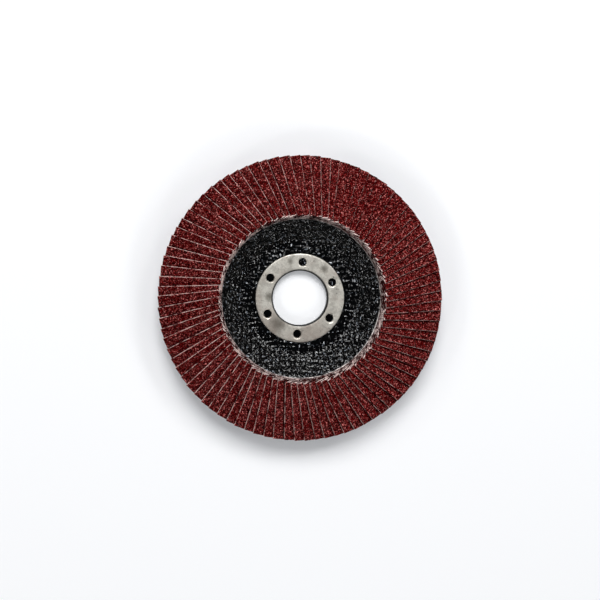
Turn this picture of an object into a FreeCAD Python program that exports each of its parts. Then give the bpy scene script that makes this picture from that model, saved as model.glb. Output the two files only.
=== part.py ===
import FreeCAD
import Part

import math
import os

# Flap disc for an angle grinder, abrasive face up, lying on the back of its hub.
# The origin is on the bore's axis at the hub's back face. +Z runs along the axis
# towards the abrasive face. All sizes are in millimetres, all angles in degrees.
#
# A dished plate of resin and glass mesh carries everything. A pressed steel eyelet
# lines its bore. Rectangles of abrasive cloth lie on its conical rim like fish
# scales: each leans on the next, its low edge in a bed of adhesive and its high edge
# exposed. The exposed edges face clockwise, seen from above, so that the turning
# disc drags them over the work instead of catching on it.

# Disc
disc_diameter = 115.0           # over the flaps' outer corners
bore_diameter = 22.23           # for a grinder's standard spindle flange

# Steel eyelet in the bore
eyelet_flange_diameter = 36.4
eyelet_steel = 0.8              # sheet thickness of flange and collar
eyelet_proud = 0.4              # height of the flange's face over the hub
eyelet_lip_diameter = 28.4      # turned-over lip at the back
eyelet_lip_thickness = 0.6
eyelet_bend_radius = 0.8        # where the bore turns into the flange
eyelet_rear_bevel = 0.5         # where the bore turns into the lip
eyelet_edge_bevel = 0.25        # along the flange's outer edge
eyelet_clearance = 0.05         # between the eyelet's edges and the plate

# Holes in the eyelet's flange, with a resin peg of the plate standing in each
key_hole_count = 6
key_hole_diameter = 3.4
key_hole_circle = 29.4
key_hole_first_angle = 25.6     # from +X
key_peg_height = 0.35           # of the resin over the eyelet's seat
key_peg_clearance = 0.05

# Backing plate
plate_diameter = 104.0
plate_thickness = 2.8
hub_flat_radius = 23.5          # where the hub's flat face meets the dish wall
crest_radius = 32.0             # highest ring of the plate, just inside the flaps
crest_height = 9.0              # of the plate's front face over the hub's back face
rim_fall_angle = 10.0           # how steeply the rim falls from crest to edge
dish_foot_rounding = 3.0        # where the hub meets the dish wall
crest_rounding = 0.6

# Glass mesh that stands out on the dish, as ridges round square gaps
mesh_pitch = 4.2
mesh_ridge_width = 1.7
mesh_relief = 0.3
mesh_inner_margin = 0.8         # plain resin between the eyelet and the mesh
mesh_outer_margin = 1.4         # plain resin between the mesh and the crest

# Flaps of abrasive cloth
flap_count = 86
flaps_in_a_node = 2
flap_width = 14.0
flap_thickness = 0.8
flap_inner_radius = 32.7        # from the axis to the middle of a flap's inner end
flap_turn_angle = 2.0           # in its own plane, anticlockwise from above
flap_air = 0.06                 # least height between one flap and the next
first_flap_angle = 0.33         # from +X to the first flap's centre line

# Adhesive
adhesive_film = 0.3             # least thickness under a flap's low edge
bead_inner_radius = 32.3
bead_height = 1.8               # of the bead along the flaps' inner ends
bead_slope_width = 1.0          # of the bead's face towards the hub
bed_outer_radius = 50.5
bed_corner_lead = 0.7           # in pitches, keeps the bed's corners off the flaps' edges

# Sizes worked out from those above
disc_radius = disc_diameter / 2
bore_radius = bore_diameter / 2
collar_radius = bore_radius + eyelet_steel
flange_radius = eyelet_flange_diameter / 2
lip_radius = eyelet_lip_diameter / 2
flange_top = plate_thickness + eyelet_proud
flange_bottom = flange_top - eyelet_steel
key_hole_radius = key_hole_diameter / 2
plate_radius = plate_diameter / 2
rim_fall = math.tan(math.radians(rim_fall_angle))
dish_angle = math.degrees(
    math.atan2(crest_height - plate_thickness, crest_radius - hub_flat_radius)
)
flap_half_width = flap_width / 2
flap_pitch_angle = 360.0 / flap_count

origin = FreeCAD.Vector(0, 0, 0)
x_axis = FreeCAD.Vector(1, 0, 0)
y_axis = FreeCAD.Vector(0, 1, 0)
z_axis = FreeCAD.Vector(0, 0, 1)


def rim_height(radius):
    """Height of the rim's front face at this distance from the axis."""
    return crest_height - (radius - crest_radius) * rim_fall


def soft_corner(before, corner, after, rounding, chords):
    """Points that replace a corner by chords of an arc of this radius."""
    back = (before - corner).normalize()
    ahead = (after - corner).normalize()
    half = back.getAngle(ahead) / 2
    reach = rounding / math.tan(half)
    first = corner + back * reach
    last = corner + ahead * reach
    centre = corner + (back + ahead).normalize() * (rounding / math.sin(half))
    points = []
    for i in range(chords + 1):
        spoke = (first - centre) * (chords - i) + (last - centre) * i
        points.append(centre + spoke.normalize() * rounding)
    return points


def outline(corners):
    """A face in the XZ plane from corners (radius, height[, rounding, chords])."""
    sharp = [FreeCAD.Vector(corner[0], 0, corner[1]) for corner in corners]
    points = []
    for i, corner in enumerate(corners):
        if len(corner) == 2:
            points.append(sharp[i])
            continue
        after = sharp[(i + 1) % len(sharp)]
        points += soft_corner(sharp[i - 1], sharp[i], after, corner[2], corner[3])
    return Part.Face(Part.makePolygon(points + points[:1]))


def turned(face):
    """The solid that a face in the XZ plane sweeps round the disc's axis."""
    return face.revolve(origin, z_axis, 360)


def on_circle(shape, angle):
    """A copy of the shape turned by this angle round the disc's axis."""
    copy = shape.copy()
    copy.rotate(origin, z_axis, angle)
    return copy


def at_key_holes(profile):
    """One upright round solid at each hole, from its corners (radius, height)."""
    post = turned(outline(profile))
    post.translate(FreeCAD.Vector(key_hole_circle / 2, 0, 0))
    step = 360.0 / key_hole_count
    angles = [key_hole_first_angle + i * step for i in range(key_hole_count)]
    return [on_circle(post, angle) for angle in angles]


def make_eyelet():
    """The pressed steel eyelet: flange with its holes, collar and turned-over lip."""
    body = turned(
        outline(
            [
                (bore_radius, 0, eyelet_rear_bevel, 1),
                (lip_radius, 0),
                (lip_radius, eyelet_lip_thickness),
                (collar_radius, eyelet_lip_thickness),
                (collar_radius, flange_bottom),
                (flange_radius, flange_bottom),
                (flange_radius, flange_top, eyelet_edge_bevel, 1),
                (bore_radius, flange_top, eyelet_bend_radius, 1),
            ]
        )
    )
    holes = at_key_holes(
        [
            (0, flange_bottom - 1),
            (key_hole_radius, flange_bottom - 1),
            (key_hole_radius, flange_top + 1),
            (0, flange_top + 1),
        ]
    )
    return body.cut(holes)


def shifted_front(distance):
    """Foot and crest of the front face, moved along its normal by a distance."""
    wall = math.radians(dish_angle)
    foot_shift = distance * math.tan(wall / 2)
    foot = (hub_flat_radius - foot_shift, plate_thickness + distance)
    turn = (wall + math.radians(rim_fall_angle)) / 2
    reach = distance / math.cos(turn)
    lean = turn - math.radians(rim_fall_angle)
    crest = (crest_radius - reach * math.sin(lean), crest_height + reach * math.cos(lean))
    return foot, crest


def front_height(radius):
    """Height of the plate's front face between the eyelet and the crest."""
    wall = math.radians(dish_angle)
    reach = dish_foot_rounding * math.tan(wall / 2)
    bevel_start = hub_flat_radius - reach
    bevel_end = hub_flat_radius + reach * math.cos(wall)
    rise = reach * math.sin(wall)
    if radius < bevel_start:
        return plate_thickness
    if radius < bevel_end:
        return plate_thickness + rise * (radius - bevel_start) / (bevel_end - bevel_start)
    return plate_thickness + rise + (radius - bevel_end) * math.tan(wall)


def mesh_gap(x, y):
    """A block whose flat underside is the floor of the mesh gap centred on (x, y)."""
    gap = mesh_pitch - mesh_ridge_width
    radius = math.hypot(x, y)
    near = front_height(radius - gap / 2)
    far = front_height(radius + gap / 2)
    block = Part.makeBox(gap, gap, crest_height, FreeCAD.Vector(-gap / 2, -gap / 2, 0))
    tilt = math.degrees(math.atan2(far - near, gap))
    block.rotate(origin, FreeCAD.Vector(y, -x, 0), tilt)
    block.translate(FreeCAD.Vector(x, y, (near + far) / 2 - mesh_relief))
    return block


def mesh_gaps():
    """The whole gaps of the glass mesh between the eyelet and the crest."""
    gap = mesh_pitch - mesh_ridge_width
    least = flange_radius + mesh_inner_margin
    most = crest_radius - mesh_outer_margin
    reach = int(most / mesh_pitch) + 1
    centres = [(i + 0.5) * mesh_pitch for i in range(-reach, reach)]
    gaps = []
    for x in centres:
        for y in centres:
            near = math.hypot(abs(x) - gap / 2, abs(y) - gap / 2)
            far = math.hypot(abs(x) + gap / 2, abs(y) + gap / 2)
            if near > least and far < most:
                gaps.append(mesh_gap(x, y))
    return gaps


def plate_outline():
    """Section of the backing plate: flat hub, dished wall and conical rim."""
    seat = flange_radius + eyelet_clearance
    rear_seat = lip_radius + eyelet_clearance
    collar_hole = collar_radius + eyelet_clearance
    back_foot, back_crest = shifted_front(-plate_thickness)
    edge_drop = plate_thickness / math.cos(math.radians(rim_fall_angle))
    return outline(
        [
            (collar_hole, eyelet_lip_thickness),
            (rear_seat, eyelet_lip_thickness),
            (rear_seat, 0),
            back_foot,
            back_crest,
            (plate_radius, rim_height(plate_radius) - edge_drop),
            (plate_radius, rim_height(plate_radius)),
            (crest_radius, crest_height, crest_rounding, 1),
            (hub_flat_radius, plate_thickness, dish_foot_rounding, 1),
            (seat, plate_thickness),
            (seat, flange_bottom),
            (collar_hole, flange_bottom),
        ]
    )


def make_plate():
    """The moulded backing plate, its mesh and the pegs in the eyelet's holes."""
    peg_radius = key_hole_radius - key_peg_clearance
    peg_top = flange_bottom + key_peg_height
    pegs = at_key_holes(
        [
            (0, eyelet_lip_thickness + 1),
            (peg_radius, eyelet_lip_thickness + 1),
            (peg_radius, peg_top),
            (0, peg_top),
        ]
    )
    return turned(plate_outline()).cut(mesh_gaps()).fuse(pegs)


def flap_lean_angle():
    """The lean at which a flap just clears the one under it.

    They are closest at the low corner of the inner end. The height between two
    flaps there is the pitch angle times the lean's slope times the radius, less
    what the fall of the rim takes back."""
    pitch = math.radians(flap_pitch_angle)
    fall = math.radians(rim_fall_angle)
    lean = fall
    for _ in range(20):
        height = flap_thickness / (math.cos(lean) * math.cos(fall)) + flap_air
        half_across = flap_half_width * math.cos(lean)
        slope = (height / pitch + rim_fall * half_across) / flap_inner_radius
        lean = math.atan(slope * math.cos(fall))
    return math.degrees(lean)


def flap_length():
    """Length that brings a flap's high outer corner onto the disc's outline.

    Across, along and above are where that corner is from the middle of the flap's
    inner end, before the flap is leaned over."""
    lean = math.radians(flap_lean_angle())
    fall = math.radians(rim_fall_angle)
    turn = math.radians(flap_turn_angle)
    above = flap_thickness
    length = disc_radius - flap_inner_radius
    for _ in range(20):
        across = flap_half_width * math.cos(turn) - length * math.sin(turn)
        sideways = across * math.cos(lean) - above * math.sin(lean)
        rise = across * math.sin(lean) + above * math.cos(lean)
        corner = math.sqrt(disc_radius**2 - sideways**2)
        along = (corner - flap_inner_radius - rise * math.sin(fall)) / math.cos(fall)
        length = (along - flap_half_width * math.sin(turn)) / math.cos(turn)
    return length


def flap_block(width, thickness, angle):
    """A flap, or another block on the same low edge, at this angle from +X."""
    lean = flap_lean_angle()
    block = Part.makeBox(width, flap_length(), thickness)
    block.translate(FreeCAD.Vector(-flap_half_width, 0, 0))
    block.rotate(origin, z_axis, flap_turn_angle)
    block.rotate(origin, y_axis, -lean)
    block.rotate(origin, x_axis, -rim_fall_angle)
    fall = math.radians(rim_fall_angle)
    rise = flap_half_width * math.sin(math.radians(lean)) / math.cos(fall)
    height = rim_height(flap_inner_radius) + adhesive_film + rise
    block.translate(FreeCAD.Vector(0, flap_inner_radius, height))
    return on_circle(block, angle - 90)


def flap_angles():
    return [first_flap_angle + i * flap_pitch_angle for i in range(flap_count)]


def faceted_ring(corners, sides, first_angle):
    """A ring with flat sides whose middles stand at the corners' radii."""
    half = math.pi / sides
    columns = []
    for side in range(sides):
        angle = math.radians(first_angle) + side * 2 * half
        spoke = FreeCAD.Vector(math.cos(angle), math.sin(angle), 0) * (1 / math.cos(half))
        columns.append([spoke * r + z_axis * z for r, z in corners])
    faces = []
    for left, right in zip(columns, columns[1:] + columns[:1]):
        for i in range(len(corners)):
            quad = [left[i - 1], right[i - 1], right[i], left[i], left[i - 1]]
            faces.append(Part.Face(Part.makePolygon(quad)))
    ring = Part.makeSolid(Part.makeShell(faces))
    if ring.Volume < 0:
        ring.reverse()
    return ring


def make_adhesive():
    """The cured bed: a bead inside the flaps and a tooth under each of them."""
    slope_top = bead_inner_radius + bead_slope_width
    corners = [
        (bead_inner_radius, rim_height(bead_inner_radius)),
        (bed_outer_radius, rim_height(bed_outer_radius)),
        (bed_outer_radius, rim_height(bed_outer_radius) + bead_height),
        (slope_top, rim_height(slope_top) + bead_height),
    ]
    first_corner = first_flap_angle + bed_corner_lead * flap_pitch_angle
    ring = faceted_ring(corners, flap_count, first_corner)
    widest_tooth = math.radians(flap_pitch_angle) * disc_radius
    above = 2 * bead_height
    return ring.cut([flap_block(widest_tooth, above, a) for a in flap_angles()])


def flap_nodes():
    """The flaps in named groups of neighbours."""
    flaps = [flap_block(flap_width, flap_thickness, a) for a in flap_angles()]
    groups = {}
    for start in range(0, flap_count, flaps_in_a_node):
        name = f"flap_pair_{start // flaps_in_a_node + 1:02d}"
        groups[name] = Part.makeCompound(flaps[start : start + flaps_in_a_node])
    return groups


def make_parts():
    parts = {
        "backing_plate": make_plate(),
        "eyelet": make_eyelet(),
        "adhesive_bed": make_adhesive(),
    }
    parts.update(flap_nodes())
    return parts


os.makedirs("parts", exist_ok=True)
for name, shape in make_parts().items():
    shape.exportStep(f"parts/{name}.step")
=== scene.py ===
import bmesh
import bpy
import math
import random
import time
from mathutils import Matrix, Vector, noise


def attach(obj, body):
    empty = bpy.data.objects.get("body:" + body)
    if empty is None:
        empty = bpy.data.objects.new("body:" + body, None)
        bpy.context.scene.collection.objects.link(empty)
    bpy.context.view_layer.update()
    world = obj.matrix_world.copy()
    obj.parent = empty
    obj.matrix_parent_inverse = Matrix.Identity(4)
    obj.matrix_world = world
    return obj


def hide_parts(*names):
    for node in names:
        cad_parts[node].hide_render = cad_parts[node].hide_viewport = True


# Flap disc for an angle grinder, seen from above with its abrasive face up.
# Lengths are written in millimetres and become metres when a piece is finished.
# Materials work in metres, apart from the flaps' own map and the glass strands.

started = time.time()
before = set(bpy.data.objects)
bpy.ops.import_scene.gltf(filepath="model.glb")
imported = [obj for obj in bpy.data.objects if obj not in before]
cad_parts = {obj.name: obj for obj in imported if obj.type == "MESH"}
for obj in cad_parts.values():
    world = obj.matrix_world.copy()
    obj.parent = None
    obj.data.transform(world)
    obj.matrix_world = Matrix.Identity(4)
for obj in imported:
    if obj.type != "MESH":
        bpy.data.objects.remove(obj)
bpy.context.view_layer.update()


def stage(words):
    print(f"{words} ({time.time() - started:.0f} s)")


stage(f"frame loaded, {len(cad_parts)} nodes")

unit = 0.001
zAxis = (0, 0, 1)
centre = (0, 0, 0)
near = 0.001                                    # closer than this counts as the same place
rimFall = 10.0                                  # degrees that the plate's rim falls outwards
crest = (32.0, 9.0)                             # radius and height of the plate's highest ring


def rimHeight(radius):
    return crest[1] - (radius - crest[0]) * math.tan(math.radians(rimFall))


# Meshes

def spinProfile(corners, steps, spacing, fineSpacing=None, isFine=None):
    # a closed section (radius, height, rounding) in the XZ plane, turned round the axis
    bm = bmesh.new()
    verts = [bm.verts.new((r, 0, z)) for r, z, _ in corners]
    for i, vert in enumerate(verts):
        bm.edges.new((vert, verts[(i + 1) % len(verts)]))
    for vert, (_, _, rounding) in zip(verts, corners):
        if rounding:
            bmesh.ops.bevel(bm, geom=[vert], offset=rounding, offset_type="OFFSET", segments=4,
                            profile=0.5, affect="VERTICES", material=-1)
    for edge in bm.edges[:]:
        middle = (edge.verts[0].co + edge.verts[1].co) / 2
        cuts = int(edge.calc_length() / (fineSpacing if isFine and isFine(middle) else spacing))
        if cuts:
            bmesh.ops.subdivide_edges(bm, edges=[edge], cuts=cuts)
    bmesh.ops.spin(bm, geom=bm.verts[:] + bm.edges[:], cent=centre, axis=zAxis, dvec=centre,
                   angle=math.tau, steps=steps, use_merge=True)
    bmesh.ops.remove_doubles(bm, verts=bm.verts, dist=0.0001)
    bmesh.ops.recalc_face_normals(bm, faces=bm.faces)
    bm.normal_update()
    return bm


def addMesh(bm, other):
    # puts the other bmesh's faces into bm and frees it
    part = bpy.data.meshes.new("part")
    other.to_mesh(part)
    other.free()
    bm.from_mesh(part)
    bpy.data.meshes.remove(part)


def addObject(name, bm):
    # in metres, at the origin
    bmesh.ops.scale(bm, vec=(unit, unit, unit), verts=bm.verts)
    mesh = bpy.data.meshes.new(name)
    bm.to_mesh(mesh)
    bm.free()
    added = bpy.data.objects.new(name, mesh)
    bpy.context.scene.collection.objects.link(added)
    return added


def finishPiece(name, bm, materials, nodes=(), smooth=True):
    piece = addObject(name, bm)
    for material in materials:
        piece.data.materials.append(material)
    if smooth:
        piece.data.shade_smooth()
    else:
        piece.data.shade_flat()
    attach(piece, "root")
    if nodes:
        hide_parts(*nodes)
    return piece


# Shader nodes

def addNode(tree, kind, inputs=None, **settings):
    # an input that is a socket gets linked, any other is set
    node = tree.nodes.new("ShaderNode" + kind)
    for key, value in settings.items():
        setattr(node, key, value)
    for key, value in (inputs or {}).items():
        if isinstance(value, bpy.types.NodeSocket):
            tree.links.new(value, node.inputs[key])
        else:
            node.inputs[key].default_value = value
    return node


def mathNode(tree, operation, *values):
    return addNode(tree, "Math", dict(enumerate(values)), operation=operation).outputs[0]


def vectorNode(tree, operation, *values):
    return addNode(tree, "VectorMath", dict(enumerate(values)), operation=operation).outputs[0]


def measureNode(tree, operation, *values):
    # a vector operation that gives a number
    node = addNode(tree, "VectorMath", dict(enumerate(values)), operation=operation)
    return node.outputs["Value"]


def scaleNode(tree, vector, scale):
    node = addNode(tree, "VectorMath", {0: vector, "Scale": scale}, operation="SCALE")
    return node.outputs[0]


def lessNode(tree, value):
    # what is left of 1
    return mathNode(tree, "SUBTRACT", 1.0, value)


def blendValue(tree, factor, low, high):
    # from low at 0 to high at 1
    return mathNode(tree, "MULTIPLY_ADD", factor, high - low, low)


def mixColour(tree, factor, first, second, blend="MIX"):
    node = addNode(tree, "Mix", {0: factor, 6: first, 7: second}, data_type="RGBA",
                   blend_type=blend)
    return node.outputs[2]


def rampNode(tree, factor, low, high):
    # 0 below low, 1 above high, smooth between
    node = addNode(tree, "MapRange", {"Value": factor, "From Min": low, "From Max": high},
                   interpolation_type="SMOOTHSTEP")
    return node.outputs[0]


def noiseNode(tree, vector, scale, detail=2.0, roughness=0.5):
    node = addNode(tree, "TexNoise", {"Vector": vector, "Scale": scale, "Detail": detail,
                                      "Roughness": roughness})
    return node.outputs["Fac"]


def bumpNode(tree, height, strength, distance):
    node = addNode(tree, "Bump", {"Height": height, "Strength": strength, "Distance": distance})
    return node.outputs["Normal"]


def flatNode(tree, position):
    # the place without its height
    return vectorNode(tree, "MULTIPLY", position, (1.0, 1.0, 0.0))


def radiusNode(tree, position):
    return measureNode(tree, "LENGTH", flatNode(tree, position))


def newGroup(name, inputs, outputs):
    group = bpy.data.node_groups.new(name, "ShaderNodeTree")
    for label, kind, value in inputs:
        socket = group.interface.new_socket(label, in_out="INPUT",
                                            socket_type="NodeSocket" + kind)
        if value is not None:
            socket.default_value = value
    for label, kind in outputs:
        group.interface.new_socket(label, in_out="OUTPUT", socket_type="NodeSocket" + kind)
    enter = group.nodes.new("NodeGroupInput")
    leave = group.nodes.new("NodeGroupOutput")
    return group, enter.outputs, leave.inputs


def useGroup(tree, group, inputs):
    return addNode(tree, "Group", inputs, node_tree=group).outputs


def rgb(red, green, blue):
    # screen values 0 to 255 turned into the shader's linear ones
    return tuple(((c / 255 + 0.055) / 1.055) ** 2.4 if c > 10 else c / 255 / 12.92
                 for c in (red, green, blue)) + (1.0,)


def newMaterial(name, roughness, metallic=0.0, specular=0.5):
    material = bpy.data.materials.new(name)
    material.use_nodes = True
    shader = material.node_tree.nodes["Principled BSDF"].inputs
    shader["Roughness"].default_value = roughness
    shader["Metallic"].default_value = metallic
    shader["Specular IOR Level"].default_value = specular
    position = addNode(material.node_tree, "TexCoord").outputs["Object"]
    return material, material.node_tree, shader, position


# Effects that several materials share

def makeGrit():
    # packed mineral grains, each with its own shade and its own facet
    group, given, out = newGroup(
        "grit",
        [("Vector", "Vector", None), ("Scale", "Float", 1500.0), ("Dark", "Color", None),
         ("Body", "Color", None), ("Light", "Color", None), ("Light Share", "Float", 0.1),
         ("Facet Tilt", "Float", 0.5)],
        [("Color", "Color"), ("Glassy", "Float"), ("Normal", "Vector")])
    cell = addNode(group, "TexVoronoi", {"Vector": given["Vector"], "Scale": given["Scale"]})
    random3 = cell.outputs["Color"]
    chance = addNode(group, "SeparateColor", {"Color": random3}).outputs
    shade = mixColour(group, rampNode(group, chance["Red"], 0.1, 0.75), given["Dark"],
                      given["Body"])
    glint = rampNode(group, chance["Green"], lessNode(group, given["Light Share"]), 1.0)
    group.links.new(mixColour(group, glint, shade, given["Light"]), out["Color"])
    group.links.new(chance["Blue"], out["Glassy"])
    lean = vectorNode(group, "SUBTRACT", random3, (0.5, 0.5, 0.5))
    surface = addNode(group, "NewGeometry").outputs["Normal"]
    facet = vectorNode(group, "ADD", surface, scaleNode(group, lean, given["Facet Tilt"]))
    group.links.new(vectorNode(group, "NORMALIZE", facet), out["Normal"])
    return group


def makeSmudge():
    # uneven film of grime or polish that drifts between two colours
    group, given, out = newGroup(
        "smudge",
        [("Vector", "Vector", None), ("Scale", "Float", 100.0), ("Amount", "Float", 0.5),
         ("Clean", "Color", None), ("Dirty", "Color", None)],
        [("Color", "Color"), ("Mask", "Float")])
    clouds = noiseNode(group, given["Vector"], given["Scale"], 5.0, 0.6)
    film = mathNode(group, "MULTIPLY", rampNode(group, clouds, 0.42, 0.64), given["Amount"])
    group.links.new(mixColour(group, film, given["Clean"], given["Dirty"]), out["Color"])
    group.links.new(film, out["Mask"])
    return group


strand = {"height": 0.55, "sway": 0.45}         # mean height, and rise and dip at crossings


def makeWeave():
    # strands crossing over and under, in the vector's own X and Y, Pitch apart
    group, given, out = newGroup(
        "weave", [("Vector", "Vector", None), ("Pitch", "Float", 1.0)],
        [("Height", "Float"), ("Lengthwise", "Float")])
    parts = addNode(group, "SeparateXYZ", {"Vector": given["Vector"]}).outputs
    waves = []
    for label in ("X", "Y"):
        turns = mathNode(group, "DIVIDE", parts[label], given["Pitch"])
        waves.append(mathNode(group, "COSINE", mathNode(group, "MULTIPLY", turns, math.pi)))
    crossing = mathNode(group, "MULTIPLY", *waves)
    strands = []
    for wave, sway in zip(waves, (strand["sway"], -strand["sway"])):
        over = mathNode(group, "MULTIPLY_ADD", crossing, sway, strand["height"])
        strands.append(mathNode(group, "MULTIPLY", mathNode(group, "ABSOLUTE", wave), over))
    group.links.new(mathNode(group, "MAXIMUM", *strands), out["Height"])
    group.links.new(mathNode(group, "GREATER_THAN", *strands), out["Lengthwise"])
    return group


def makeWear():
    # stretches where an edge is worn: nothing below Low, all of it above High
    group, given, out = newGroup(
        "wear",
        [("Vector", "Vector", None), ("Scale", "Float", 330.0), ("Low", "Float", 0.4),
         ("High", "Float", 0.6)],
        [("Mask", "Float")])
    ragged = noiseNode(group, given["Vector"], given["Scale"], 4.0, 0.72)
    group.links.new(rampNode(group, ragged, given["Low"], given["High"]), out["Mask"])
    return group


def makeGrazingLight():
    # 1 round one bearing of the disc, where light falls along the flap edges; there the edges are
    # painted faint: their cloth darker and their groove shade lighter
    group, given, out = newGroup(
        "grazingLight",
        [("Vector", "Vector", None), ("Towards", "Vector", None), ("From", "Float", 0.9),
         ("Full", "Float", 1.0)],
        [("Mask", "Float")])
    outwards = vectorNode(group, "NORMALIZE", flatNode(group, given["Vector"]))
    facing = measureNode(group, "DOT_PRODUCT", outwards, given["Towards"])
    group.links.new(rampNode(group, facing, given["From"], given["Full"]), out["Mask"])
    return group


grit, smudge, weave = makeGrit(), makeSmudge(), makeWeave()
wear, grazingLight = makeWear(), makeGrazingLight()
stage("shared effects made")

# Abrasive and cloth: maroon mineral grain in resin on a woven backing. Both read the flap's
# own map: X from its exposed edge, Y from its inner end.

edgeLook = {
    "wornScale": 330.0,
    # the bearing where light falls along the flap edges, round which they are painted faint
    "grazingBearing": 36, "grazingFrom": 0.92, "grazingFull": 0.985,
}
grainLook = {
    "dark": rgb(20, 0, 0), "body": rgb(114, 2, 5), "light": rgb(240, 142, 137),
    "grainScale": 2900.0, "lightShare": 0.1, "facetTilt": 0.9, "roughness": (0.28, 0.95),
    # the grains lie in small ripples, with painted shade in the hollows and a painted highlight on
    # top
    "rippleScale": 2150.0, "rippleShade": 0.9, "rippleHighlight": 0.5,
    "rippleShadeRange": (0.36, 0.56), "rippleHighlightRange": (0.56, 0.74),
    "cloth": rgb(255, 230, 224), "bareShare": 0.9,
    "edgeWear": 0.03, "endWear": 0.4,                   # mm of bare cloth: long edge, inner end
    "wornFrom": 0.45, "wornSpan": 0.15,
    # painted shade: a dark line beside the next flap's edge, how far in it is, and how that grows
    # outwards
    "grooveShadeColour": rgb(14, 1, 2), "grooveAt": 2.62, "grooveGrows": 0.0772,
    "grooveShadeWidth": 0.55, "grooveShadeDepth": 0.75, "grazingShadeDepth": 0.15,
}
clothLook = {
    "bare": rgb(246, 215, 208), "bareEnd": rgb(255, 240, 236), "shade": rgb(196, 138, 132),
    "resin": rgb(70, 12, 14), "glued": rgb(62, 28, 26),
    "pitch": 0.5, "yarnShade": 0.4, "yarnBump": (0.5, 0.0001),
    "end": (0.1, 0.3),                                  # mm over which the inner end fades out
    "from": 0.385, "endFrom": 0.37, "wornSpan": 0.14, "grazingShift": 0.13,
    "openWidth": 3.7, "glueFade": 0.8,                  # part of an end that no flap covers
    "glueScale": 800.0, "gluePatches": (0.42, 0.56), "leastGlue": 0.2,
}


def readFlapMap(tree):
    flapMap = addNode(tree, "UVMap", uv_map="flapMap").outputs["UV"]
    across, along = addNode(tree, "SeparateXYZ", {"Vector": flapMap}).outputs[:2]
    return flapMap, across, along


def placeWear(tree, position, low, high):
    return useGroup(tree, wear, {"Vector": position, "Scale": edgeLook["wornScale"],
                                 "Low": low, "High": high})["Mask"]


def placeGrazingLight(tree, position):
    bearing = math.radians(edgeLook["grazingBearing"])
    return useGroup(tree, grazingLight, {"Vector": position,
                                 "Towards": (math.sin(bearing), math.cos(bearing), 0.0),
                                 "From": edgeLook["grazingFrom"],
                                 "Full": edgeLook["grazingFull"]})["Mask"]


def makeAbrasive():
    look = grainLook
    material, tree, shader, position = newMaterial("abrasiveGrain", 0.6, specular=0.03)
    grains = useGroup(tree, grit, {"Vector": position, "Scale": look["grainScale"],
                                   "Dark": look["dark"], "Body": look["body"],
                                   "Light": look["light"], "Light Share": look["lightShare"],
                                   "Facet Tilt": look["facetTilt"]})
    # painted shade in the ripples' hollows and painted highlight on their tops
    ripple = noiseNode(tree, position, look["rippleScale"], 1.0)
    hollowShade = blendValue(tree, rampNode(tree, ripple, *look["rippleShadeRange"]),
                        look["rippleShade"], 0.0)
    topHighlight = mathNode(tree, "MULTIPLY", rampNode(tree, ripple, *look["rippleHighlightRange"]),
                     look["rippleHighlight"])
    shaded = mixColour(tree, hollowShade, grains["Color"], look["dark"])
    rippled = mixColour(tree, topHighlight, shaded, look["light"])
    # painted shade beside the next flap's edge
    _, across, along = readFlapMap(tree)
    grooveAt = mathNode(tree, "MULTIPLY_ADD", along, look["grooveGrows"], look["grooveAt"])
    inFromGroove = mathNode(tree, "SUBTRACT", grooveAt, across)
    grooveShade = lessNode(tree, rampNode(tree, inFromGroove, 0.0, look["grooveShadeWidth"]))
    # the painted groove shade is lighter round that bearing
    depth = blendValue(tree, placeGrazingLight(tree, position), look["grooveShadeDepth"], look["grazingShadeDepth"])
    grooveShaded = mixColour(tree, mathNode(tree, "MULTIPLY", grooveShade, depth), rippled,
                          look["grooveShadeColour"])
    # bare cloth along worn edges
    worn = placeWear(tree, position, look["wornFrom"], look["wornFrom"] + look["wornSpan"])
    longEdge = mathNode(tree, "LESS_THAN", across,
                        mathNode(tree, "MULTIPLY", worn, look["edgeWear"]))
    innerEnd = mathNode(tree, "LESS_THAN", along,
                        mathNode(tree, "MULTIPLY", worn, look["endWear"]))
    bare = mathNode(tree, "MULTIPLY", mathNode(tree, "MAXIMUM", longEdge, innerEnd),
                    look["bareShare"])
    tree.links.new(mixColour(tree, bare, grooveShaded, look["cloth"]), shader["Base Color"])
    tree.links.new(blendValue(tree, grains["Glassy"], *look["roughness"]), shader["Roughness"])
    tree.links.new(grains["Normal"], shader["Normal"])
    return material


def makeCloth():
    # cream yarn where the cut edge is clean, maroon where the grain's resin has run over it
    look = clothLook
    material, tree, shader, position = newMaterial("backingCloth", 0.9, specular=0.05)
    flapMap, across, along = readFlapMap(tree)
    yarn = useGroup(tree, weave, {"Vector": flapMap, "Pitch": look["pitch"]})["Height"]
    atEnd = lessNode(tree, rampNode(tree, along, *look["end"]))
    # painted shade: round that bearing more of the cut edge is resin-dark instead of cream
    grazed = mathNode(tree, "MULTIPLY", placeGrazingLight(tree, position), lessNode(tree, atEnd))
    start = mathNode(tree, "MULTIPLY_ADD", grazed, look["grazingShift"],
                     blendValue(tree, atEnd, look["from"], look["endFrom"]))
    bare = placeWear(tree, position, start, mathNode(tree, "ADD", start, look["wornSpan"]))
    clean = mixColour(tree, atEnd, look["bare"], look["bareEnd"])
    fuzz = mixColour(tree, mathNode(tree, "MULTIPLY", yarn, look["yarnShade"]), clean,
                     look["shade"])
    edge = mixColour(tree, bare, look["resin"], fuzz)
    # glue has soaked the part of an end that lies under the next flaps
    patchy = rampNode(tree, noiseNode(tree, position, look["glueScale"], 3.0),
                      *look["gluePatches"])
    covered = rampNode(tree, across, look["openWidth"] - look["glueFade"], look["openWidth"])
    soaked = mathNode(tree, "MULTIPLY", mathNode(tree, "MULTIPLY", atEnd, covered),
                      blendValue(tree, patchy, look["leastGlue"], 1.0))
    tree.links.new(mixColour(tree, soaked, edge, look["glued"]), shader["Base Color"])
    tree.links.new(bumpNode(tree, yarn, *look["yarnBump"]), shader["Normal"])
    return material


# Resin: black, over glass mesh, with small glossy flats along the strands, and pale specks that are
# part bare glass and part painted glint

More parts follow.
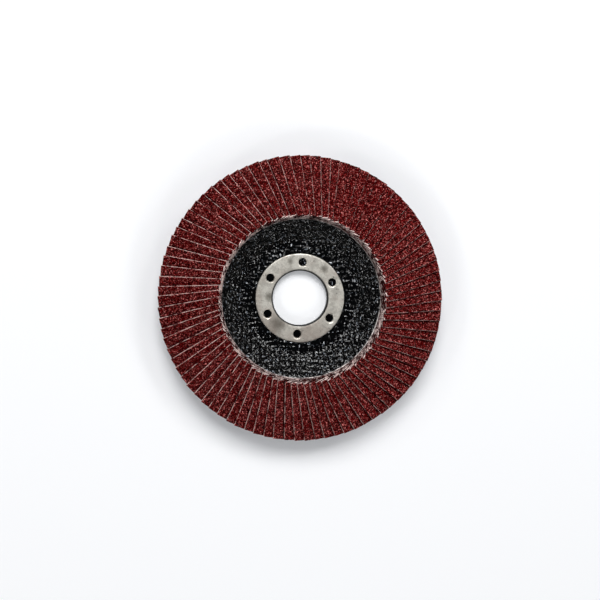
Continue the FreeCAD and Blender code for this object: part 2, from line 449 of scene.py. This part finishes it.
meshLook = {
    "pitch": 2.05, "drift": 0.42, "driftRate": 0.21,    # mm, mm, radians per mm
    "resin": rgb(2, 2, 3), "dust": rgb(4, 5, 5), "glass": rgb(136, 143, 152),
    "filmScale": 420.0, "filmAmount": 0.8, "roughness": (0.06, 0.15),
    "flats": 2700.0, "flatStretch": 0.36, "flatTilt": 1.2, "calmTilt": 0.2, "glassShare": 0.045,
    "relief": 0.16, "hubShare": 0.34,                   # the mesh is fainter on the hub
    "dishFrom": (0.021, 0.025), "meshFrom": (0.0181, 0.0186), "strandFrom": (0.3, 0.6),
}


def makeResin():
    look = meshLook
    material, tree, shader, position = newMaterial("glassResin", 0.2, specular=0.55)
    film = useGroup(tree, smudge, {"Vector": position, "Scale": look["filmScale"],
                                   "Amount": look["filmAmount"],
                                   "Clean": look["resin"], "Dirty": look["dust"]})
    inMm = scaleNode(tree, position, 1 / unit)
    x, y, _ = addNode(tree, "SeparateXYZ", {"Vector": inMm}).outputs
    drifted = []
    for main, other in ((x, y), (y, x)):
        swing = mathNode(tree, "SINE", mathNode(tree, "MULTIPLY", other, look["driftRate"]))
        drifted.append(mathNode(tree, "MULTIPLY_ADD", swing, look["drift"], main))
    strandMap = addNode(tree, "CombineXYZ", dict(enumerate(drifted))).outputs[0]
    mesh = useGroup(tree, weave, {"Vector": strandMap, "Pitch": look["pitch"]})
    radius = radiusNode(tree, position)
    onDish = blendValue(tree, rampNode(tree, radius, *look["dishFrom"]), look["hubShare"], 1.0)
    onMesh = mathNode(tree, "MULTIPLY", onDish, rampNode(tree, radius, *look["meshFrom"]))
    onStrand = mathNode(tree, "MULTIPLY", rampNode(tree, mesh["Height"], *look["strandFrom"]),
                        onMesh)
    tilt = blendValue(tree, onStrand, look["calmTilt"], look["flatTilt"])
    # pale specks on the flats, part bare glass and part painted glint
    flats = []
    for stretch in ((1.0, look["flatStretch"], 1.0), (look["flatStretch"], 1.0, 1.0)):
        place = vectorNode(tree, "MULTIPLY", position, stretch)
        flats.append(useGroup(tree, grit, {"Vector": place, "Scale": look["flats"],
                                           "Dark": film["Color"], "Body": film["Color"],
                                           "Light": look["glass"],
                                           "Light Share": look["glassShare"],
                                           "Facet Tilt": tilt}))
    lengthwise, sideways = flats
    tree.links.new(mixColour(tree, mesh["Lengthwise"], sideways["Color"], lengthwise["Color"]),
                   shader["Base Color"])
    facet = addNode(tree, "Mix", {0: mesh["Lengthwise"], 4: sideways["Normal"],
                                  5: lengthwise["Normal"]}, data_type="VECTOR").outputs[1]
    relief = mathNode(tree, "MULTIPLY", mesh["Height"],
                      mathNode(tree, "MULTIPLY", onDish, look["relief"]))
    woven = addNode(tree, "Bump", {"Height": relief, "Strength": 1.0, "Distance": unit,
                                   "Normal": facet})
    tree.links.new(woven.outputs["Normal"], shader["Normal"])
    tree.links.new(blendValue(tree, film["Mask"], *look["roughness"]), shader["Roughness"])
    return material


# Steel: pressed, handled and a little stained, with painted shade on the bore wall and low on the
# left

steelLook = {
    "bright": rgb(250, 246, 235), "dull": rgb(116, 112, 105), "stain": rgb(176, 158, 146),
    "sootAndShade": rgb(18, 17, 17),
    "filmScale": 230.0, "filmAmount": 0.55, "roughness": (0.3, 0.6),
    "stainScale": 90.0, "stainAmount": 0.5, "stainShift": (0.03, 0.01, 0.0),
    # where and how large: painted shade low on the left, then grey thumb marks beside three holes
    "shadeAndMarks": (((-0.0088, -0.0104, 0.0032), 0.0058), ((0.0100, 0.0118, 0.0032), 0.0024),
              ((-0.0128, 0.0008, 0.0032), 0.0030), ((-0.0040, 0.0150, 0.0032), 0.0022)),
    "shadeAndMarkShare": 0.75, "shadeAndMarkBlur": (0.2, 1.9),
    "spotScale": 700.0, "spots": (0.60, 0.70), "spotShare": 0.7,
    "fineScale": 1500.0, "finePatches": (0.35, 0.6), "fineShare": 0.12,
    "scratchScale": 2200.0, "scratchBump": (0.15, 0.00005),
    "boreEdge": (0.0115, 0.0120),                       # painted shade on the bore wall inside these radii
}


def makeSteel():
    look = steelLook
    material, tree, shader, position = newMaterial("pressedSteel", 0.4, metallic=0.5)
    film = useGroup(tree, smudge, {"Vector": position, "Scale": look["filmScale"],
                                   "Amount": look["filmAmount"],
                                   "Clean": look["bright"], "Dirty": look["dull"]})
    elsewhere = addNode(tree, "Mapping", {"Vector": position, "Location": look["stainShift"]})
    stain = useGroup(tree, smudge, {"Vector": elsewhere.outputs[0], "Scale": look["stainScale"],
                                    "Amount": look["stainAmount"],
                                    "Clean": film["Color"], "Dirty": look["stain"]})
    uneven = noiseNode(tree, position, look["spotScale"], 4.0, 0.7)
    shadeAndMarked = stain["Color"]
    # painted shade low on the left and grey thumb marks, each darkening the steel
    for place, size in look["shadeAndMarks"]:
        away = measureNode(tree, "DISTANCE", position, place)
        blurred = mathNode(tree, "MULTIPLY", away, blendValue(tree, uneven, *look["shadeAndMarkBlur"]))
        shadeAndMark = lessNode(tree, rampNode(tree, blurred, 0.0, size))
        shadeAndMarked = mixColour(tree, mathNode(tree, "MULTIPLY", shadeAndMark, look["shadeAndMarkShare"]), shadeAndMarked,
                           look["dull"], "MULTIPLY")
    spots = mathNode(tree, "MULTIPLY", rampNode(tree, uneven, *look["spots"]), look["spotShare"])
    spotted = mixColour(tree, spots, shadeAndMarked, look["sootAndShade"])
    fine = rampNode(tree, noiseNode(tree, position, look["fineScale"], 3.0, 0.7),
                    *look["finePatches"])
    grainy = mixColour(tree, blendValue(tree, fine, look["fineShare"], 0.0), spotted,
                       look["dull"], "MULTIPLY")
    # painted shade: the bore wall dark, in the colour the soot spots also use
    boreShade = lessNode(tree, rampNode(tree, radiusNode(tree, position), *look["boreEdge"]))
    tree.links.new(mixColour(tree, boreShade, grainy, look["sootAndShade"]), shader["Base Color"])
    tree.links.new(blendValue(tree, film["Mask"], *look["roughness"]), shader["Roughness"])
    scratches = noiseNode(tree, position, look["scratchScale"], 3.0)
    tree.links.new(bumpNode(tree, scratches, *look["scratchBump"]), shader["Normal"])
    return material


# Glue: dull and lumpy, paler along the bead than in the bed, whose dark brown is partly cured glue
# and partly painted shade of the gap behind the bead

glueLook = {
    "bed": {"pale": rgb(84, 52, 50), "dark": rgb(10, 4, 4), "patches": 640.0},
    "bead": {"pale": rgb(255, 244, 240), "dark": rgb(34, 20, 20), "patches": 430.0},
    "lumpScale": 1800.0, "lumpBump": (0.7, 0.0003),
}


def makeGlue(name, look):
    material, tree, shader, position = newMaterial(name, 0.5, specular=0.25)
    film = useGroup(tree, smudge, {"Vector": position, "Scale": look["patches"], "Amount": 1.0,
                                   "Clean": look["pale"], "Dirty": look["dark"]})
    tree.links.new(film["Color"], shader["Base Color"])
    lumps = noiseNode(tree, position, glueLook["lumpScale"], 3.0)
    tree.links.new(bumpNode(tree, lumps, *glueLook["lumpBump"]), shader["Normal"])
    return material


abrasiveGrain = makeAbrasive()
backingCloth = makeCloth()
glassResin = makeResin()
pressedSteel = makeSteel()
bedGlueAndShade = makeGlue("bedGlueAndShade", glueLook["bed"])
paleGlue = makeGlue("paleGlue", glueLook["bead"])
stage("materials made")

# Flaps: each a rectangle of cloth with a grain coat, leaning on the next one

flap = {
    "count": 86, "perNode": 2, "firstAngle": 0.33,
    "width": 14.0, "length": 24.09, "thickness": 0.6, "coat": 0.2,
    "innerRadius": 32.7, "height": 11.943, "lean": 22.90, "turn": 2.0,
    "lift": 0.05,                                       # of its underside off the seat
    "columns": 15, "hiddenColumns": 3, "rows": 70,      # columns crowd into the part that shows
    "shownWidth": 4.9,
    "fray": 0.42,                                       # threads past the cut inner end
    "fringe": 0.2,                                      # cloth past the grain at the outer end
    "crown": 0.14, "crownWidth": 5.0,                   # outer end trimmed near the disc's circle,
    "squareSide": 290, "squareness": 0.09,              # less so round this bearing, more opposite,
    "squareCentre": 2,                                  # about this far from the exposed edge
    "grainRelief": 0.07, "coveredRelief": 0.4,
    "edgeRagged": 0.08, "raggedOut": 0.6,
    "slide": 0.34, "slideSpread": 0.55,                 # hand-laid unevenness in mm,
    "creep": 0.12, "creepOut": 0.5, "twist": 0.55,      # and in degrees
    "seed": 11,
}


def flapPlace(number):
    # from a flap lying flat, exposed edge at +X and inner end at Y 0, to its place
    bearing = flap["firstAngle"] - 90 + number * 360 / flap["count"]
    around = Matrix.Rotation(math.radians(bearing), 4, "Z")
    shift = Matrix.Translation((0, flap["innerRadius"], flap["height"]))
    fall = Matrix.Rotation(math.radians(-rimFall), 4, "X")
    lean = Matrix.Rotation(math.radians(-flap["lean"]), 4, "Y")
    return around @ shift @ fall @ lean @ Matrix.Rotation(math.radians(flap["turn"]), 4, "Z")


def makeBlank():
    # one flap with flat, clean faces: grain coat above, cloth below
    bm = bmesh.new()
    flapMap = bm.loops.layers.uv.new("flapMap")
    half, shown = flap["width"] / 2, flap["shownWidth"]
    bmesh.ops.create_grid(bm, x_segments=flap["columns"], y_segments=flap["rows"], size=1.0)
    hiddenShare = flap["hiddenColumns"] / flap["columns"]
    for vert in bm.verts:
        share = (vert.co.x + 1) / 2             # 0 at the low edge, 1 at the exposed one
        if share <= hiddenShare:
            across = flap["width"] - share / hiddenShare * (flap["width"] - shown)
        else:
            across = shown - (share - hiddenShare) / (1 - hiddenShare) * shown
        length = flap["length"] + min(across, flap["crownWidth"]) * flap["crown"]
        along = (vert.co.y + 1) / 2 * (length + flap["fray"]) - flap["fray"]
        vert.co = Vector((half - across, along, flap["thickness"] + flap["lift"]))
    for depth, material in ((flap["coat"], 0), (flap["thickness"] - flap["coat"], 1)):
        rim = [edge for edge in bm.edges if edge.is_boundary]
        made = bmesh.ops.extrude_edge_only(bm, edges=rim)["geom"]
        bmesh.ops.translate(bm, vec=(0, 0, -depth),
                            verts=[g for g in made if isinstance(g, bmesh.types.BMVert)])
        for face in made:
            if isinstance(face, bmesh.types.BMFace):
                face.material_index = material
    rim = [edge for edge in bm.edges if edge.is_boundary]
    for face in bmesh.ops.holes_fill(bm, edges=rim, sides=0)["faces"]:
        face.material_index = 1
    for vert in bm.verts:
        if vert.co.z < flap["lift"] + near and vert.co.y > flap["length"] - near:
            vert.co.y += flap["fringe"]
    bmesh.ops.recalc_face_normals(bm, faces=bm.faces)
    bm.normal_update()
    for face in bm.faces:
        # a wall of the coat is no worn edge, so it is mapped as if further in
        inset = 1.0 if face.material_index == 0 and face.normal.z < 0.5 else 0.0
        for loop in face.loops:
            x, y, _ = loop.vert.co
            loop[flapMap].uv = (half - x + inset, y + flap["fray"] + inset)
    return bm


def makeFlap(blank, number, chance):
    bm = blank.copy()
    half, length = flap["width"] / 2, flap["length"]
    top = flap["thickness"] + flap["lift"]
    bearing = 90 - flap["firstAngle"] - number * 360 / flap["count"]
    squarer = flap["squareness"] * math.cos(math.radians(bearing - flap["squareSide"]))
    for vert in bm.verts:
        x, y, z = vert.co
        if y > length - near:
            vert.co.y -= squarer * (min(half - x, flap["crownWidth"]) - flap["squareCentre"])
        if z > top - near:                      # uneven grain, calmer where it is covered
            shows = x > half - flap["shownWidth"]
            vert.co.z += chance.uniform(-1, 1) * flap["grainRelief"] * (
                1 if shows else flap["coveredRelief"])
        ragged = chance.uniform(-1, flap["raggedOut"]) * flap["edgeRagged"]
        if half - abs(x) < near:
            vert.co.x += ragged if x > 0 else -ragged
        if y < near - flap["fray"] or y > length - near:
            vert.co.y += ragged if y > 1 else -ragged
    # laid by hand: slid, crept and twisted a little in its own plane
    slide = Matrix.Translation((chance.gauss(0, flap["slideSpread"]) * flap["slide"],
                                chance.uniform(-1, flap["creepOut"]) * flap["creep"], 0))
    twist = Matrix.Rotation(math.radians(chance.uniform(-1, 1) * flap["twist"]), 4, "Z")
    bmesh.ops.transform(bm, matrix=flapPlace(number) @ slide @ twist, verts=bm.verts)
    return bm


def makeFlaps():
    chance = random.Random(flap["seed"])
    blank = makeBlank()
    for pair in range(flap["count"] // flap["perNode"]):
        both = bmesh.new()
        for member in range(flap["perNode"]):
            addMesh(both, makeFlap(blank, pair * flap["perNode"] + member, chance))
        finishPiece(f"flapPair{pair + 1:02d}", both, [abrasiveGrain, backingCloth],
                    [f"flap_pair_{pair + 1:02d}"], smooth=False)
    blank.free()


makeFlaps()
stage(f"{flap['count']} flaps laid")

# Backing plate: dished, with its glass mesh standing out

plate = {
    "thickness": 2.8, "hubRadius": 23.5, "edgeRadius": 52.0,
    "backFoot": (24.41, 0.0), "backCrest": (32.69, 6.036),
    "seatRadius": 18.25, "seatHeight": 2.4, "collarRadius": 11.965,
    "lipSeatRadius": 14.25, "lipSeatHeight": 0.6,
    "roundings": {"lipSeat": 0.1, "backFoot": 1.0, "backCrest": 0.8, "lowEdge": 0.5,
                  "edge": 0.4, "crest": 0.5, "dishFoot": 1.2, "seat": 0.12},
    "steps": 540, "spacing": 0.8,
    "fineSpacing": 0.29, "fineRadius": 18.3, "fineHeight": 2.5, "fineSlope": 0.7,
    # the mesh: from this radius to the crest, over this height, shallower on the hub
    "meshRadius": 18.6, "meshHeight": 2.7, "meshMargin": 0.2, "fadeIn": 0.8, "fadeOut": 0.5,
    "meshRelief": 0.32, "meshSink": 0.16, "hubRelief": 0.42, "hubFrom": 22, "hubFade": 3,
    "lumpHeight": 0.16, "lumpScale": 0.8,
    # slow unevenness of the moulded back
    "backRadius": 14.6, "backMargin": 0.5, "backHeight": 0.3,
    "backScale": 0.5, "backSink": 0.3, "backRelief": 0.12,
    "holeCircle": 14.7, "firstHole": 25.6, "holes": 6,
}


def meshRise(x, y):
    # the same plain weave as the resin's material, with slow lumps
    pitch, drift, rate = (meshLook[k] for k in ("pitch", "drift", "driftRate"))
    u = math.cos((x + drift * math.sin(y * rate)) / pitch * math.pi)
    v = math.cos((y + drift * math.sin(x * rate)) / pitch * math.pi)
    mean, sway, lump = strand["height"], strand["sway"] * u * v, plate["lumpScale"]
    strands = max(abs(u) * (mean + sway), abs(v) * (mean - sway))
    lumps = noise.noise((x * lump, y * lump, 3))
    return strands * plate["meshRelief"] + lumps * plate["lumpHeight"]


def plateCorners():
    edge, rounding = plate["edgeRadius"], plate["roundings"]
    edgeDrop = plate["thickness"] / math.cos(math.radians(rimFall))
    return [
        (plate["collarRadius"], plate["lipSeatHeight"], 0),
        (plate["lipSeatRadius"], plate["lipSeatHeight"], 0),
        (plate["lipSeatRadius"], 0, rounding["lipSeat"]),
        (*plate["backFoot"], rounding["backFoot"]),
        (*plate["backCrest"], rounding["backCrest"]),
        (edge, rimHeight(edge) - edgeDrop, rounding["lowEdge"]),
        (edge, rimHeight(edge), rounding["edge"]),
        (*crest, rounding["crest"]),
        (plate["hubRadius"], plate["thickness"], rounding["dishFoot"]),
        (plate["seatRadius"], plate["thickness"], rounding["seat"]),
        (plate["seatRadius"], plate["seatHeight"], 0),
        (plate["collarRadius"], plate["seatHeight"], 0),
    ]


def onMeshSide(place):
    # the part of the section that carries the mesh: the hub's face and the dish wall
    climb = max(0, (place.x - plate["hubRadius"]) * plate["fineSlope"])
    return plate["fineRadius"] < place.x < crest[0] and place.z > plate["fineHeight"] + climb


def makePlate():
    inner, outer = plate["meshRadius"], crest[0]
    backOuter = plate["edgeRadius"] - plate["backMargin"]
    bm = spinProfile(plateCorners(), plate["steps"], plate["spacing"], plate["fineSpacing"],
                     onMeshSide)
    for vert in bm.verts:
        x, y, z = vert.co
        radius = math.hypot(x, y)
        facesUp, facesDown = vert.normal.z > 0.3, vert.normal.z < -0.3
        if facesUp and inner < radius < outer - plate["meshMargin"] and z > plate["meshHeight"]:
            fade = min(1, (radius - inner) / plate["fadeIn"], (outer - radius) / plate["fadeOut"])
            onDish = min(1, max(0, radius - plate["hubFrom"]) / plate["hubFade"])
            share = plate["hubRelief"] + (1 - plate["hubRelief"]) * onDish
            vert.co += vert.normal * ((meshRise(x, y) - plate["meshSink"]) * fade * share)
        elif facesDown and plate["backRadius"] < radius < backOuter and z > plate["backHeight"]:
            rise = noise.noise(vert.co * plate["backScale"]) - plate["backSink"]
            vert.co += vert.normal * rise * plate["backRelief"]
    finishPiece("backingPlate", bm, [glassResin], ["backing_plate"])


makePlate()
stage("backing plate moulded")

# Eyelet: pressed steel lining of the bore

eyelet = {
    "boreRadius": 11.115, "steel": 0.8, "flangeRadius": 18.17, "top": 3.2, "underside": 2.4,
    "lipRadius": 14.2, "lipThickness": 0.6,
    "bend": 0.8, "rearBend": 0.45, "lipRounding": 0.2, "innerRounding": 0.1,
    "edgeRounding": 0.35, "sharpAngle": 40,
    "steps": 256, "spacing": 0.8,
    "holeRadius": 1.62, "mouthRadius": 2.0, "mouthDepth": 0.35, "mouthRounding": 0.3,
    "mouthFlare": (0.4, 0.3),                           # how far the mouth's cone runs on
    "cutSteps": 40, "cutSpacing": 5.0, "cutSpare": 1,
}


def eyeletCorners():
    bore, flange, top, low = (eyelet[k] for k in ("boreRadius", "flangeRadius", "top",
                                                  "underside"))
    lip, lipTop, inside = (eyelet[k] for k in ("lipRadius", "lipThickness", "innerRounding"))
    collar = bore + eyelet["steel"]
    return [
        (bore, 0, eyelet["rearBend"]), (lip, 0, eyelet["lipRounding"]),
        (lip, lipTop, inside), (collar, lipTop, inside),
        (collar, low, inside), (flange, low, inside),
        (flange, top, eyelet["edgeRounding"]), (bore, top, eyelet["bend"]),
    ]


def makeCutters():
    # six turned pins with a countersunk head, one for each hole
    hole, top = eyelet["holeRadius"], eyelet["top"]
    foot = eyelet["underside"] - eyelet["cutSpare"]
    flareOut, flareUp = eyelet["mouthFlare"]
    mouth = eyelet["mouthRadius"] + flareOut
    pin = [(0, foot, 0), (hole, foot, 0),
           (hole, top - eyelet["mouthDepth"], eyelet["mouthRounding"]),
           (mouth, top + flareUp, 0), (mouth, top + eyelet["cutSpare"], 0),
           (0, top + eyelet["cutSpare"], 0)]
    cutters = bmesh.new()
    for i in range(plate["holes"]):
        angle = math.radians(plate["firstHole"] + i * 360 / plate["holes"])
        cutter = spinProfile(pin, eyelet["cutSteps"], eyelet["cutSpacing"])
        place = Vector((math.cos(angle), math.sin(angle), 0)) * plate["holeCircle"]
        bmesh.ops.translate(cutter, vec=place, verts=cutter.verts)
        addMesh(cutters, cutter)
    return addObject("holeCutters", cutters)


def makeEyelet():
    bm = spinProfile(eyeletCorners(), eyelet["steps"], eyelet["spacing"])
    body = finishPiece("eyelet", bm, [pressedSteel], ["eyelet"])
    cutters = makeCutters()
    pierce = body.modifiers.new("pierce", "BOOLEAN")
    pierce.operation = "DIFFERENCE"
    pierce.object = cutters
    pierce.solver = "EXACT"
    bpy.context.view_layer.update()
    made = body.evaluated_get(bpy.context.evaluated_depsgraph_get())
    pierced = bpy.data.meshes.new_from_object(made)
    body.modifiers.clear()
    body.data = pierced
    pierced.shade_smooth()
    pierced.set_sharp_from_angle(angle=math.radians(eyelet["sharpAngle"]))
    bpy.data.objects.remove(cutters)


makeEyelet()
stage("eyelet pressed")

# Glue: a lumpy bead along the flaps' inner ends, over the bed between flaps and rim

bead = {
    "inner": 32.04, "outer": 32.62, "height": 0.44, "sink": 0.2, "slope": 0.1,
    "innerRounding": 0.25, "outerRounding": 0.15, "steps": 900, "spacing": 0.1,
    "lump": 0.2, "lumpScale": 0.9, "smallLumpScale": 2.3, "smallLump": 0.5, "lumpFrom": 0.05,
}


def makeBead():
    inner, outer, height = bead["inner"], bead["outer"], bead["height"]
    corners = [
        (inner, rimHeight(inner) - bead["sink"], 0), (outer, rimHeight(outer) - bead["sink"], 0),
        (outer, rimHeight(outer) + height, bead["outerRounding"]),
        (inner + bead["slope"], rimHeight(inner) + height, bead["innerRounding"]),
    ]
    bm = spinProfile(corners, bead["steps"], bead["spacing"])
    for vert in bm.verts:
        if vert.co.z > rimHeight(math.hypot(vert.co.x, vert.co.y)) + bead["lumpFrom"]:
            lump = noise.noise(vert.co * bead["lumpScale"])
            lump += bead["smallLump"] * noise.noise(vert.co * bead["smallLumpScale"])
            vert.co += vert.normal * lump * bead["lump"]
    finishPiece("glueBead", bm, [paleGlue])


makeBead()
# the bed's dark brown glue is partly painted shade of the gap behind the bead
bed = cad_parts["adhesive_bed"]
bed.data.materials.clear()
bed.data.materials.append(bedGlueAndShade)
stage("glue run in")

# Floor, light and camera

stageSet = {
    "radius": 3.0, "segments": 64, "glow": 0.2, "glowColour": (0.9, 0.95, 1.0, 1.0),
    # painted shadow: the paper is a little greyer in a ring round the disc
    "paper": (0.89, 0.89, 0.90, 1.0), "shadowPaper": (0.775, 0.775, 0.79, 1.0),
    "shadowFrom": (0.03, 0.05), "shadowTo": (0.057, 0.077),
    "worldStrength": 0.03, "worldColour": (0.86, 0.93, 1.0, 1.0),
    "lampDistance": 1.5,
    # power, size, height and bearing: the key stands above the picture, others all round
    "lamps": {"keyLight": (17.4, 0.85, 50, -3), "topLight": (0.8, 0.3, 72, 20),
              "east": (1.4, 0.16, 38, 95), "southEast": (1.6, 0.16, 30, 145),
              "south": (1.5, 0.16, 28, 180), "southWest": (2.2, 0.16, 34, 222),
              "west": (1.5, 0.16, 36, 262), "northWest": (0.8, 0.16, 30, 312),
              "northEast": (3.0, 0.3, 40, 48)},
}


def makePaper():
    material, tree, shader, position = newMaterial("paper", 0.9, specular=0.0)
    away = measureNode(tree, "LENGTH", position)
    # painted shadow round the disc
    paintedShadow = mathNode(tree, "MULTIPLY", rampNode(tree, away, *stageSet["shadowFrom"]),
                    lessNode(tree, rampNode(tree, away, *stageSet["shadowTo"])))
    tree.links.new(mixColour(tree, paintedShadow, stageSet["paper"], stageSet["shadowPaper"]),
                   shader["Base Color"])
    shader["Emission Color"].default_value = stageSet["glowColour"]
    # the paper shows white to the camera, in metal and through glass, and keeps its shadow
    path = addNode(tree, "LightPath").outputs
    seen = mathNode(tree, "MAXIMUM", path["Is Camera Ray"],
                    mathNode(tree, "MAXIMUM", path["Is Glossy Ray"],
                             path["Is Transmission Ray"]))
    tree.links.new(mathNode(tree, "MULTIPLY", seen, stageSet["glow"]),
                   shader["Emission Strength"])
    return material


def makeFloor():
    bm = bmesh.new()
    bmesh.ops.create_circle(bm, cap_ends=True, segments=stageSet["segments"],
                            radius=stageSet["radius"] / unit)
    floor = addObject("floor", bm)
    floor.data.materials.append(makePaper())


def makeLamp(name, power, size, place):
    data = bpy.data.lights.new(name, "AREA")
    data.shape = "DISK"
    data.size = size
    data.energy = power
    lamp = bpy.data.objects.new(name, data)
    lamp.location = place
    lamp.rotation_euler = (-place).to_track_quat("-Z", "Y").to_euler()
    lamp.visible_camera = False
    bpy.context.scene.collection.objects.link(lamp)


def makeLights():
    for name, (power, size, height, bearing) in stageSet["lamps"].items():
        up, aside = math.radians(height), math.radians(bearing)
        direction = Vector((math.sin(aside) * math.cos(up), math.cos(aside) * math.cos(up),
                            math.sin(up)))
        makeLamp(name, power, size, direction * stageSet["lampDistance"])
    world = bpy.data.worlds.new("studio")
    world.use_nodes = True
    background = world.node_tree.nodes["Background"].inputs
    background["Color"].default_value = stageSet["worldColour"]
    background["Strength"].default_value = stageSet["worldStrength"]
    bpy.context.scene.world = world


# the lens stands a little to the left of the axis and above it, as seen in the picture
view = {"distance": 0.44, "width": 0.2404, "aim": (-0.00087, -0.0004, 0.011),
        "tiltX": -2.9, "tiltY": -6.2, "sensor": 36.0, "clipStart": 0.01}


def makeCamera():
    data = bpy.data.cameras.new("camera")
    data.sensor_width = view["sensor"]
    data.lens = view["sensor"] * view["distance"] / view["width"]
    data.clip_start = view["clipStart"]
    camera = bpy.data.objects.new("camera", data)
    tilt = Matrix.Rotation(math.radians(view["tiltY"]), 4, "Y") @ Matrix.Rotation(
        math.radians(view["tiltX"]), 4, "X")
    camera.matrix_world = Matrix.Translation(view["aim"]) @ tilt @ Matrix.Translation(
        (0, 0, view["distance"]))
    bpy.context.scene.collection.objects.link(camera)
    bpy.context.scene.camera = camera


makeFloor()
makeLights()
makeCamera()
bpy.context.scene.view_settings.view_transform = "Standard"
stage("floor, light and camera set")
